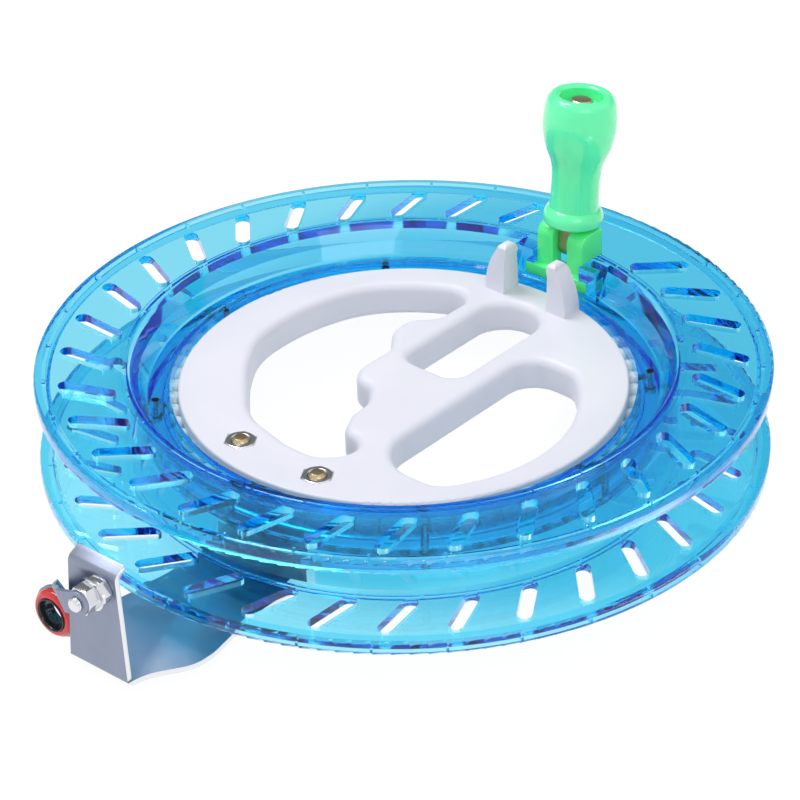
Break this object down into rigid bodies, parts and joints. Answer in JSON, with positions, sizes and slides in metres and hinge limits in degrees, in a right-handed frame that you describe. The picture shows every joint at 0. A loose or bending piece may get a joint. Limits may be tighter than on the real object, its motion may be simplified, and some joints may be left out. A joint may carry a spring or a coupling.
{
  "type": "kite line winder",
  "caption": "Hand-held kite line winder: a clear flanged wheel turning on a pierced grip plate, with a folding knob handle and a ringed line guide on a bent metal arm.",
  "frame": {"origin": "centre of the drum: on the wheel's spin axis, midway between its two halves", "axes": "+Z along the spin axis, out of the side with the knob handle; +Y towards the knob handle; -Y towards the line guide"},
  "size_m": [0.2, 0.2304, 0.0867],
  "materials": {
    "clear_blue_plastic": "clear, polished",
    "screw_steel": "satin",
    "ball_plastic": "polished",
    "off_white_plastic": "satin",
    "sheet_aluminium": "satin, bright cut edges",
    "brass_tinted_steel": "satin",
    "zinc_steel": "bright zinc",
    "red_plastic": "glossy",
    "dark_ceramic": "polished",
    "green_plastic": "glossy",
    "olive_spindle": "satin",
    "mint_plastic": "satin"
  },
  "bodies": {
    "base": {"grip_plate": "off_white_plastic", "guide_arm": "sheet_aluminium", "arm_bolts": "brass_tinted_steel", "arm_washers": "zinc_steel", "arm_nuts": "zinc_steel", "guide_bolt": "zinc_steel", "guide_spacer_nut": "zinc_steel", "guide_washer": "zinc_steel", "guide_outer_nut": "zinc_steel", "guide_frame": "sheet_aluminium", "guide_shock_ring": "red_plastic", "guide_insert": "dark_ceramic"},
    "wheel": {"wheel_upper_half": "clear_blue_plastic", "wheel_lower_half": "clear_blue_plastic", "wheel_screws": "screw_steel", "handle_clevis": "green_plastic", "hinge_pin": "screw_steel"},
    "balls": {"bearing_balls": "ball_plastic"},
    "spindle": {"handle_spindle": "olive_spindle", "knob_screw": "screw_steel"},
    "knob": {"handle_knob": "mint_plastic"}
  },
  "joints": [
    {"name": "wheel_spin", "type": "hinge", "parent": "base", "child": "wheel", "pos_m": [0, 0, 0], "axis": [0, 0, 1], "continuous": true},
    {"name": "ball_ring_spin", "type": "hinge", "parent": "base", "child": "balls", "pos_m": [0, 0, 0], "axis": [0, 0, 1], "continuous": true},
    {"name": "handle_fold", "type": "hinge", "parent": "wheel", "child": "spindle", "pos_m": [0, 0.0736, 0.01595], "axis": [1, 0, 0], "range_deg": [0, 95.5]},
    {"name": "knob_spin", "type": "hinge", "parent": "spindle", "child": "knob", "pos_m": [0, 0.0736, 0.01595], "axis": [0, 0.0958, 0.9954], "continuous": true}
  ],
  "couplings": [
    {"joint": "ball_ring_spin", "follows": "wheel_spin", "ratio": 0.5239}
  ]
}
